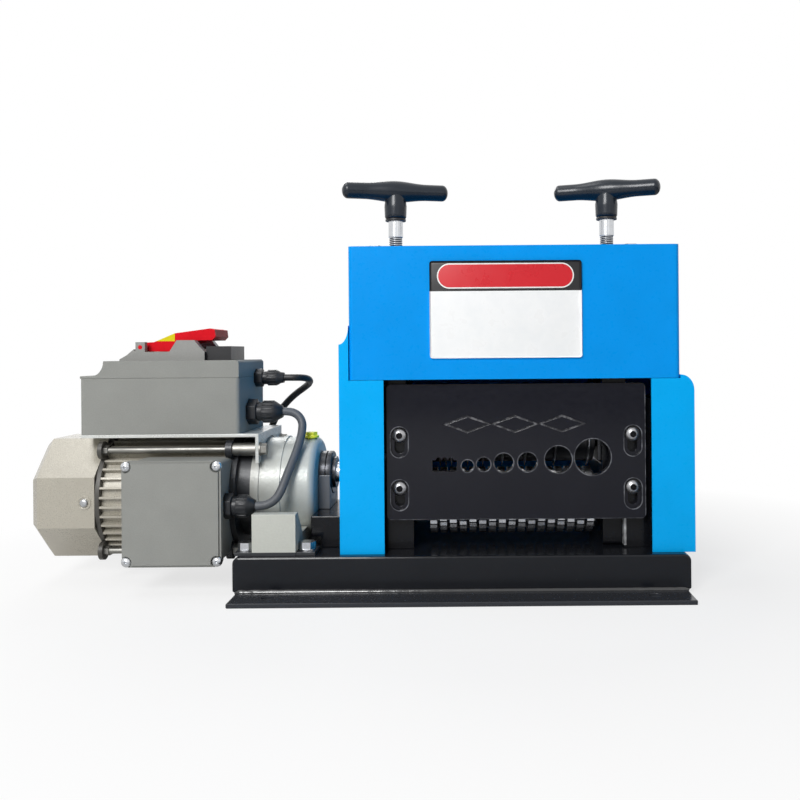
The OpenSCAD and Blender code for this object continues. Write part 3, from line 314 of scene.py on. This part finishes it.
nylon = moulded("nylon", colour(214, 214, 208), rough=0.4, grain=700, depth=0.1)


# a second colour on one finish where mask is 1
def twoTone(finish, mask, tone):
    base = finish.shader.inputs["Base Color"]
    finish.set({"Base Color": finish.mix(mask, Val(finish, base.links[0].from_socket), tone)})


# where those second colours start and stop, in millimetres
tint = {"noseX": -278.4, "noseZ": 228.3, "ventX": -246.2, "grooveY": (-77.6, -76.4), "grooveZ": (139, 161),
        "drumX": -200, "drumFade": -170, "footZ": 38.2, "stripX": (145.6, 151.2), "stripZ": (37, 62)}


def between(value, ends):
    return (value > ends[0] * mm) * (value < ends[1] * mm)


paddleRed = moulded("paddleRed", colour(224, 28, 40), rough=0.34, grain=500, depth=0.06, gloss=1.12)
paddleX, _, paddleZ = paddleRed.axes()
nose = (paddleX < tint["noseX"] * mm) * (paddleZ > tint["noseZ"] * mm)
twoTone(paddleRed, nose, colour(228, 214, 40))
switchX = switchPlastic.axes()[0]
twoTone(switchPlastic, switchX > tint["ventX"] * mm, colour(26, 26, 29))
guideX, guideY, guideZ = platePaint.axes()
# painted highlight: light grey glints, broken by noise, along the engraved diamond groove
groove = between(guideY, tint["grooveY"]) * between(guideZ, tint["grooveZ"])
paintedGrooveGlint = platePaint.spread(platePaint.noise(160, 3, 0.7), 0.45, 0.62, 0.15, 0.8)
twoTone(platePaint, groove * paintedGrooveGlint, colour(140, 140, 144))

# painted highlights on the guide plate's edges, broken up by noise: round the holes, round the slots, along
# the right side and fainter along the bottom
plateEdgeGlint = {"front": -77.25, "edge": 0.35, "width": 0.5, "right": 166.85, "low": 64.1, "lowPart": 0.6,
             "tone": colour(132, 134, 140),
             "holes": [(5.8, 112, 5.5), (20.4, 113.4, 6.3), (38.7, 114.6, 8.7), (60.3, 115.2, 8.7),
                       (88.3, 117.3, 12.3), (119.5, 119.3, 16.5)],
             "slotX": (-56, 156), "slotZ": (86, 134), "slotHalf": 6, "slotRadius": 7.75}


def ringMask(x, z, radius, half=0):
    along = abs(guideZ - z * mm) - half * mm
    along = along * (along > 0)
    away = ((guideX - x * mm) ** 2 + along ** 2) ** 0.5
    ring = abs(away - (radius + plateEdgeGlint["edge"]) * mm) < plateEdgeGlint["width"] * mm
    return ring * (guideY < plateEdgeGlint["front"] * mm)


edgeGlint = (guideX > plateEdgeGlint["right"] * mm) + (guideZ < plateEdgeGlint["low"] * mm) * plateEdgeGlint["lowPart"]
for x, z, radius in plateEdgeGlint["holes"]:
    edgeGlint = edgeGlint + ringMask(x, z, radius)
for x in plateEdgeGlint["slotX"]:
    for z in plateEdgeGlint["slotZ"]:
        edgeGlint = edgeGlint + ringMask(x, z, plateEdgeGlint["slotRadius"], plateEdgeGlint["slotHalf"])
glintBreaks = platePaint.spread(platePaint.noise(90, 3, 0.6), 0.4, 0.62, 0.12, 0.75)
twoTone(platePaint, edgeGlint * glintBreaks, plateEdgeGlint["tone"])

# painted shade: dark discs over the sockets in the button heads
boltSocket = {"x": (-56, 156), "z": (92, 140), "radius": 2.95}
boltX, _, boltZ = boltSteel.axes()
socketShade = boltX * 0
for x in boltSocket["x"]:
    for z in boltSocket["z"]:
        away = ((boltX - x * mm) ** 2 + (boltZ - z * mm) ** 2) ** 0.5
        socketShade = socketShade + (away < boltSocket["radius"] * mm)
twoTone(boltSteel, socketShade, colour(26, 26, 29))

# light strip down the right bracket's foot: partly bare metal, partly painted reflection
bracketPaint = glossPaint("bracketPaint", colour(15, 16, 20), rough=0.2, peel=0.4, coat=0.25, gloss=1.28)
stripX, _, stripZ = bracketPaint.axes()
strip = between(stripX, tint["stripX"]) * between(stripZ, tint["stripZ"])
rubbedAndSheen = bracketPaint.spread(bracketPaint.noise(120, 3, 0.6), 0.35, 0.6, 0.3, 0.9)
twoTone(bracketPaint, strip * rubbedAndSheen, colour(196, 197, 199))

# painted shade: darker and browner towards the drum's flange beside the terminal box, black on the motor's
# side of it
drumX = castGrey.axes()[0]
drumShade = castGrey.spread(drumX, tint["drumX"] * mm, tint["drumFade"] * mm, 0.5, 0.0)
twoTone(castGrey, drumShade, colour(122, 118, 112))
twoTone(castGrey, drumX < tint["drumX"] * mm, colour(40, 42, 46))
# painted shade: the foot's plate is painted black
footZ = beigeCast.axes()[2]
twoTone(beigeCast, footZ < tint["footZ"] * mm, colour(40, 42, 46))
print("finishes made:", len(bpy.data.materials))

slotFinish = {"black_paint": blackPaint, "blue_paint": bluePaint, "bare_steel": bareSteel, "zinc": zincPlate,
              "dark_steel": blackOxide, "black_plastic": blackPlastic, "grey_paint": greyPaint,
              "cast_grey": castGrey, "beige_cast": beigeCast, "yellow_plastic": yellowPlastic,
              "motor_grey": motorGrey, "winding": winding, "box_grey": boxPlastic,
              "switch_grey": switchPlastic, "red_plastic": redPlastic, "green_plastic": greenPlastic,
              "grey_rubber": greySheath, "black_rubber": blackSheath, "tie_plastic": nylon}

# CAD nodes keep their shape and get a finish and a small round on their edges
softEdge = {"base_plate": 0.9, "base_channel": 1.6, "left_side_frame": 0.6, "right_side_frame": 0.6,
            "top_plate": 0.6, "hood": 0.7, "left_gear_cover": 0.7, "right_gear_cover": 0.7,
            "guide_plate": 0.7, "guide_brackets": 0.6, "guide_bolts": 0.3, "hex_bolts": 0.4,
            "cover_screws": 0.25, "terminal_box": 0.8, "terminal_lid": 0.9, "control_box": 0.9,
            "control_lid": 1.0, "switch_body": 0.7, "stop_paddle": 1.2, "start_button": 0.8,
            "stop_button": 0.8, "gearbox_housing": 0.7, "gearbox_foot": 1.0, "support_block": 0.8,
            "bearing_stand": 0.7, "fan_cover": 0.9, "end_shield": 0.6, "control_bracket": 0.5,
            "tie_rods": 0.4, "control_glands": 0.4, "terminal_gland": 0.4, "vent_plug": 0.4,
            "mains_plug": 0.6, "bearing_blocks": 0.6, "roller_gear": 0.2, "lower_timing_gear": 0.2,
            "upper_timing_gear": 0.2, "drive_pinion": 0.2, "feed_roller": 0.15, "left_handle": 0.5,
            "right_handle": 0.5, "motor_housing": 0.3}
openEdge = ["base_plate", "base_channel"]
dress = {"merge": 0.01, "flat": 0.4, "sharp": 34, "segments": 2}
for part in frame["record"]["subparts"]:
    node = frame["nodes"][part["node"]]
    for slot in node.material_slots:
        slot.material = slotFinish[part["material_slot"]].material
    weld = node.modifiers.new("weld", "WELD")
    weld.merge_threshold = dress["merge"] * mm
    if part["node"] in softEdge:
        flats = node.modifiers.new("flats", "DECIMATE")
        flats.decimate_type = "DISSOLVE"
        flats.angle_limit = math.radians(dress["flat"])
        edge = node.modifiers.new("edge", "BEVEL")
        edge.width = softEdge[part["node"]] * mm
        edge.segments = dress["segments"]
        edge.limit_method = "ANGLE"
        edge.angle_limit = math.radians(dress["sharp"])
        edge.use_clamp_overlap = part["node"] not in openEdge
    even = node.modifiers.new("even", "WEIGHTED_NORMAL")
    even.keep_sharp = True
ownFinish = {"stop_paddle": paddleRed, "base_plate": litBasePaint, "base_channel": litChannelPaint,
             "guide_plate": platePaint, "guide_bolts": boltSteel, "guide_brackets": bracketPaint,
             "tie_rods": rodSteel, "end_shield": shadedShieldGrey, "left_gear_cover": litCoverBlue,
             "right_gear_cover": litCoverBlue, "control_bracket": shelfGrey, "left_handle": handleGrey,
             "right_handle": handleGrey}
for name, finish in ownFinish.items():
    for slot in frame["nodes"][name].material_slots:
        slot.material = finish.material
motorCord.data.materials.append(greySheath.material)
mainsCord.data.materials.append(blackSheath.material)
print("nodes dressed")


# modelling helpers
def nothingSelected():
    if bpy.context.object and bpy.context.object.mode != "OBJECT":
        bpy.ops.object.mode_set(mode="OBJECT")
    bpy.ops.object.select_all(action="DESELECT")


def boxPiece(name, low, high):
    nothingSelected()
    low, high = Vector(low) * mm, Vector(high) * mm
    bpy.ops.mesh.primitive_cube_add(size=1, location=(low + high) / 2, scale=high - low)
    bpy.ops.object.transform_apply(location=True, rotation=True, scale=True)
    piece = bpy.context.object
    piece.name = name
    return piece


def roundEdges(piece, width, segments=3, angle=30):
    bevel = piece.modifiers.new("round", "BEVEL")
    bevel.width = width * mm
    bevel.segments = segments
    bevel.limit_method = "ANGLE"
    bevel.angle_limit = math.radians(angle)
    nothingSelected()
    piece.select_set(True)
    bpy.context.view_layer.objects.active = piece
    bpy.ops.object.modifier_apply(modifier=bevel.name)


def keepPiece(piece, body, finish, angle=35):
    nothingSelected()
    piece.select_set(True)
    bpy.context.view_layer.objects.active = piece
    bpy.ops.object.shade_smooth_by_angle(angle=math.radians(angle))
    piece.data.materials.clear()
    piece.data.materials.append(finish.material)
    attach(piece, body)
    return piece


def editPiece(piece):
    nothingSelected()
    piece.select_set(True)
    bpy.context.view_layer.objects.active = piece
    bpy.ops.object.mode_set(mode="EDIT")
    bpy.ops.mesh.select_all(action="DESELECT")
    bpy.ops.object.mode_set(mode="OBJECT")


def pickFaces(piece, test):
    editPiece(piece)
    for face in piece.data.polygons:
        face.select = test(face.center / mm, face.normal)
    bpy.ops.object.mode_set(mode="EDIT")
    bpy.ops.mesh.select_mode(type="FACE")


def pickEdges(piece, test):
    editPiece(piece)
    for edge in piece.data.edges:
        ends = [piece.data.vertices[v].co / mm for v in edge.vertices]
        edge.select = test(*ends)
    bpy.ops.object.mode_set(mode="EDIT")
    bpy.ops.mesh.select_mode(type="EDGE")


def rodPiece(name, start, end, radius, sides):
    nothingSelected()
    start, end = Vector(start) * mm, Vector(end) * mm
    turn = (end - start).to_track_quat("Z", "Y").to_euler()
    bpy.ops.mesh.primitive_cylinder_add(vertices=sides, radius=radius * mm, depth=(end - start).length,
                                        location=(start + end) / 2, rotation=turn)
    bpy.ops.object.transform_apply(location=True, rotation=True, scale=True)
    piece = bpy.context.object
    piece.name = name
    return piece


def joined(pieces, name):
    nothingSelected()
    for piece in pieces:
        piece.select_set(True)
    bpy.context.view_layer.objects.active = pieces[0]
    bpy.ops.object.join()
    bpy.context.object.name = name
    return bpy.context.object


# bare plate on the hood: a dark header with a plain red bar over a white field
hoodPlate = {"low": (-27, -88.6, 210), "high": (109, -88.02, 297), "corner": 2.5, "header": 270,
             "bar": (41, 283.6), "barHalf": 50, "barRadius": 10.2, "rim": 1.1}
plateFilm = Finish("plateFilm", {"Metallic": 0.0, "IOR": 1.45})
plateX, _, plateZ = plateFilm.axes()
alongBar = abs(plateX - hoodPlate["bar"][0] * mm) - hoodPlate["barHalf"] * mm
alongBar = alongBar * (alongBar > 0)
fromBar = (alongBar * alongBar + (plateZ - hoodPlate["bar"][1] * mm) ** 2) ** 0.5
smudge = plateFilm.noise(60, 4, 0.6)
header = plateFilm.mix(fromBar < hoodPlate["barRadius"] * mm, colour(238, 238, 236), colour(206, 22, 36))
header = plateFilm.mix(fromBar > (hoodPlate["barRadius"] + hoodPlate["rim"]) * mm, header, colour(20, 20, 23))
field = plateFilm.mix(plateFilm.spread(smudge, 0.35, 0.75), colour(249, 250, 250), colour(242, 244, 245))
plateFilm.set({"Base Color": plateFilm.mix(plateZ > hoodPlate["header"] * mm, field, header),
               "Roughness": plateFilm.spread(smudge, 0.3, 0.7, 0.22, 0.4)})
plateFilm.bump(plateFilm.noise(700, 2), 0.05, 0.0003)
plate = boxPiece("hoodPlate", hoodPlate["low"], hoodPlate["high"])
pickEdges(plate, lambda a, b: abs(a.y - b.y) > 0.2)
bpy.ops.mesh.bevel(offset=hoodPlate["corner"] * mm, segments=5, affect="EDGES")
bpy.ops.object.mode_set(mode="OBJECT")
roundEdges(plate, 0.15, 2)
keepPiece(plate, "machine", plateFilm)

# weld fillet where the channel meets the base plate, rougher towards both ends
weldBead = {"half": 201, "front": 97.2, "foot": 4.1, "radius": 2.6, "ripple": 3.1, "step": 0.7, "swell": 0.22,
            "rough": 60, "flutter": 0.37, "calm": 0.3, "endSize": 0.4, "endGrowth": 0.3}
beads = []
for side in (-1, 1):
    y = side * weldBead["front"]
    bead = rodPiece("bead", (-weldBead["half"], y, weldBead["foot"]), (weldBead["half"], y, weldBead["foot"]),
                    weldBead["radius"], 12)
    pickEdges(bead, lambda a, b: abs(a.x - b.x) > 5)
    bpy.ops.mesh.subdivide(number_cuts=int(2 * weldBead["half"] / weldBead["step"]))
    bpy.ops.object.mode_set(mode="OBJECT")
    for v in bead.data.vertices:
        x = v.co.x / mm
        fromEnd = weldBead["half"] - abs(x)
        near = max(0, 1 - fromEnd / weldBead["rough"])
        ripple = abs(math.sin(math.pi * x / weldBead["ripple"])) - 0.5
        wave = ripple + 0.5 * math.sin(x * weldBead["flutter"]) * near
        size = 1 + weldBead["swell"] * wave * (weldBead["calm"] + near)
        size = size * min(1, weldBead["endSize"] + weldBead["endGrowth"] * fromEnd)
        v.co.y = (y + (v.co.y / mm - y) * size) * mm
        v.co.z = (weldBead["foot"] + (v.co.z / mm - weldBead["foot"]) * size) * mm
    beads.append(bead)
keepPiece(joined(beads, "weldBeads"), "machine", weldPaint, 60)
print("plate and weld beads made")

# thread on the lifting screws, between the hood and their smooth ends
screwThread = {"low": 311.4, "pitch": 1.75, "turns": 8, "root": 5.9, "crest": 6.45, "base": 0.86, "steps": 28,
               "merge": 0.005, "places": {"left_adjuster": (-62, -27), "right_adjuster": (142, -27)}}
for body, (x, y) in screwThread["places"].items():
    nothingSelected()
    bpy.ops.mesh.primitive_circle_add(vertices=3, radius=1 * mm, fill_type="NOTHING")
    thread = bpy.context.object
    thread.name = "thread." + body
    rise = screwThread["pitch"] * screwThread["base"]
    corners = [(screwThread["root"], 0), (screwThread["root"], rise), (screwThread["crest"], rise / 2)]
    for v, (out, up) in zip(thread.data.vertices, corners):
        v.co = Vector((out, 0, up)) * mm
    wind = thread.modifiers.new("wind", "SCREW")
    wind.axis = "Z"
    wind.angle = math.radians(360)
    wind.screw_offset = screwThread["pitch"] * mm
    wind.iterations = screwThread["turns"]
    wind.steps = wind.render_steps = screwThread["steps"]
    bpy.ops.object.modifier_apply(modifier=wind.name)
    thread.location = Vector((x, y, screwThread["low"])) * mm
    bpy.ops.object.transform_apply(location=True, rotation=True, scale=True)
    bpy.ops.object.mode_set(mode="EDIT")
    bpy.ops.mesh.select_all(action="SELECT")
    bpy.ops.mesh.remove_doubles(threshold=screwThread["merge"] * mm)
    bpy.ops.mesh.fill_holes(sides=4)
    bpy.ops.mesh.normals_make_consistent(inside=False)
    bpy.ops.object.mode_set(mode="OBJECT")
    keepPiece(thread, body, blackOxide, 30)
print("threads wound")

# rubber rings under the handles
handleRing = {"z": 343.5, "major": 8.5, "minor": 1.5}
for body, (x, y) in screwThread["places"].items():
    nothingSelected()
    bpy.ops.mesh.primitive_torus_add(location=Vector((x, y, handleRing["z"])) * mm, major_segments=40,
                                     minor_segments=12, major_radius=handleRing["major"] * mm,
                                     minor_radius=handleRing["minor"] * mm)
    bpy.ops.object.transform_apply(location=True, rotation=True, scale=True)
    ring = bpy.context.object
    ring.name = "ring." + body
    pickFaces(ring, lambda at, normal: normal.z < -0.6)  # pressed flat underneath
    bpy.ops.transform.resize(value=(1, 1, 0))
    bpy.ops.object.mode_set(mode="OBJECT")
    keepPiece(ring, body, blackSheath, 60)

# cable glands with ribbed dome nuts: lengths are parts of the gland's reach, radii parts of its flats
glands = {"terminal_gland": [{"at": (-217, -70, 76), "long": 28, "flats": 21, "lead": 8}],
          "control_glands": [{"at": (-209, 14, 191), "long": 29, "flats": 16, "lead": 7},
                             {"at": (-209, -15, 158.5), "long": 34, "flats": 22, "lead": 8}]}
glandShape = {"hexEnd": 0.28, "neck": (0.2, 0.46), "neckRadius": 0.42, "nut": (0.44, 0.75), "nutRadius": 0.47,
              "dome": [(0.05, 0.95), (0.08, 0.8)], "tipLong": 0.12, "tipWall": 1.7, "lip": 1.4, "sink": 1.2,
              "sides": 48, "ribEvery": 3, "rib": 0.03}


def glandPiece(gland):
    x, y, z = gland["at"]
    size, reach = gland["flats"], gland["long"]

    def rod(name, ends, radius, sides):
        return rodPiece(name, (x + reach * ends[0], y, z), (x + reach * ends[1], y, z), radius, sides)
    hexagon = rod("hexagon", (0, glandShape["hexEnd"]), size / 2 / math.cos(math.radians(30)), 6)
    roundEdges(hexagon, 0.7, 3)
    neck = rod("neck", glandShape["neck"], size * glandShape["neckRadius"], 32)
    roundEdges(neck, 0.3, 2, 60)
    radius = size * glandShape["nutRadius"]
    nut = rod("nut", glandShape["nut"], radius, glandShape["sides"])
    pickFaces(nut, lambda at, normal: normal.x > 0.9)
    for along, narrower in glandShape["dome"]:
        bpy.ops.mesh.extrude_region_move(TRANSFORM_OT_translate={"value": (reach * along * mm, 0, 0)})
        bpy.ops.transform.resize(value=(1, narrower, narrower))
        radius = radius * narrower
    tip = (reach * glandShape["tipLong"] * mm, 0, 0)
    bpy.ops.mesh.extrude_region_move(TRANSFORM_OT_translate={"value": tip})
    squeeze = (gland["lead"] / 2 + glandShape["tipWall"]) / radius
    bpy.ops.transform.resize(value=(1, squeeze, squeeze))
    bpy.ops.mesh.inset(thickness=glandShape["lip"] * mm, depth=0)
    bpy.ops.mesh.extrude_region_move(TRANSFORM_OT_translate={"value": (-glandShape["sink"] * mm, 0, 0)})
    bpy.ops.object.mode_set(mode="OBJECT")
    barrel = x + reach * glandShape["nut"][1]

    def rib(at, normal):
        turn = math.atan2(at.z - z, at.y - y) / math.radians(360 / glandShape["sides"])
        return abs(normal.x) < 0.1 and at.x < barrel and round(turn - 0.5) % glandShape["ribEvery"] == 0
    pickFaces(nut, rib)
    ribHeight = size * glandShape["rib"] * mm
    bpy.ops.mesh.extrude_region_shrink_fatten(TRANSFORM_OT_shrink_fatten={"value": ribHeight})
    bpy.ops.object.mode_set(mode="OBJECT")
    roundEdges(nut, 0.25, 2, 40)
    return joined([hexagon, neck, nut], "gland")


for node, places in glands.items():
    gland = joined([glandPiece(place) for place in places], node + "Ribbed")
    keepPiece(gland, "machine", blackPlastic, 40)
    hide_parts(node)
print("glands made")

# pressed rims round the fan cover's screws
screwRim = {"x": -352, "z": 77.5, "reach": 56.9, "stand": 0.8, "radius": 6.4, "lip": 1.3, "sink": 0.55,
            "ways": [(0, -1, 0), (0, 0, -1), (0, 1, 0)]}
rims = []
for way in screwRim["ways"]:
    out = Vector(way)
    foot = Vector((screwRim["x"], 0, screwRim["z"])) + out * screwRim["reach"]
    rim = rodPiece("rim", foot, foot + out * screwRim["stand"], screwRim["radius"], 40)
    pickFaces(rim, lambda at, normal: normal.dot(out) > 0.9)
    bpy.ops.mesh.inset(thickness=screwRim["lip"] * mm, depth=0)
    bpy.ops.mesh.extrude_region_move(TRANSFORM_OT_translate={"value": -out * screwRim["sink"] * mm})
    bpy.ops.object.mode_set(mode="OBJECT")
    roundEdges(rim, 0.25, 2)
    rims.append(rim)
keepPiece(joined(rims, "screwRims"), "machine", motorGrey, 40)
print("screw rims pressed")

# stage and light
stage = {"size": 12, "drop": 0.0002, "tones": ([0.86, 0.86, 0.86, 1], [0.9, 0.9, 0.9, 1]),
         "near": (0.28, 0.74), "far": (0.6, 1.0), "skyLight": 0.055, "skySeen": 1.0, "aim": (0, 0, 0.15)}
nothingSelected()
bpy.ops.mesh.primitive_plane_add(size=stage["size"], location=(0, 0, -stage["drop"]))
floor = bpy.context.object
floor.name = "floor"
floorPaint = Finish("floorPaint", {"Roughness": 0.7, "IOR": 1.2, "Specular IOR Level": 0.1})
floorPaint.set({"Base Color": floorPaint.mix(floorPaint.noise(3, 2), *stage["tones"])})
floorX, floorY, _ = floorPaint.axes()
away = (floorX * floorX + floorY * floorY) ** 0.5
white = floorPaint.node("ShaderNodeEmission", None, {"Color": (1, 1, 1, 1), "Strength": 1.0})
sight = floorPaint.node("ShaderNodeLightPath", output="Is Camera Ray")
clear = floorPaint.spread(away, stage["near"][0], stage["far"][0], stage["near"][1], stage["far"][1])
faded = floorPaint.node("ShaderNodeMixShader", None, {0: clear * sight, 2: white})
floorPaint.tree.links.new(floorPaint.shader.outputs[0], faded.socket.node.inputs[1])
floorPaint.tree.links.new(faded.socket, floorPaint.tree.nodes["Material Output"].inputs["Surface"])
floor.data.materials.append(floorPaint.material)

world = bpy.data.worlds.new("studio")
bpy.context.scene.world = world
world.use_nodes = True
links = world.node_tree.links
sky = world.node_tree.nodes["Background"]
sky.inputs["Color"].default_value = (1, 1, 1, 1)
path = world.node_tree.nodes.new("ShaderNodeLightPath")
seen = path.outputs["Is Camera Ray"]
for ray in ("Is Glossy Ray", "Is Transmission Ray"):
    both = world.node_tree.nodes.new("ShaderNodeMath")
    both.operation = "ADD"
    links.new(seen, both.inputs[0])
    links.new(path.outputs[ray], both.inputs[1])
    seen = both.outputs[0]
level = world.node_tree.nodes.new("ShaderNodeMapRange")
links.new(seen, level.inputs["Value"])
level.inputs["To Min"].default_value = stage["skyLight"]
level.inputs["To Max"].default_value = stage["skySeen"]
links.new(level.outputs[0], sky.inputs["Strength"])

lamps = [
    {"name": "key", "at": (-0.64, -1.7, 1.2), "size": (0.72, 0.8), "power": 31.5},
    {"name": "fill", "at": (0.9, -1.7, 0.6), "size": (0.8, 0.8), "power": 0.6},
    {"name": "top", "at": (-0.75, 0.0, 1.7), "size": (0.9, 0.9), "power": 7},
    {"name": "back", "at": (-0.75, 1.7, 1.3), "size": (0.9, 0.8), "power": 12},
]
for lamp in lamps:
    nothingSelected()
    bpy.ops.object.light_add(type="AREA", location=lamp["at"])
    light = bpy.context.object
    light.name = lamp["name"]
    light.data.shape = "RECTANGLE"
    light.data.size, light.data.size_y = lamp["size"]
    light.data.energy = lamp["power"]
    light.rotation_euler = (Vector(stage["aim"]) - light.location).to_track_quat("-Z", "Y").to_euler()
print("stage and lights set")
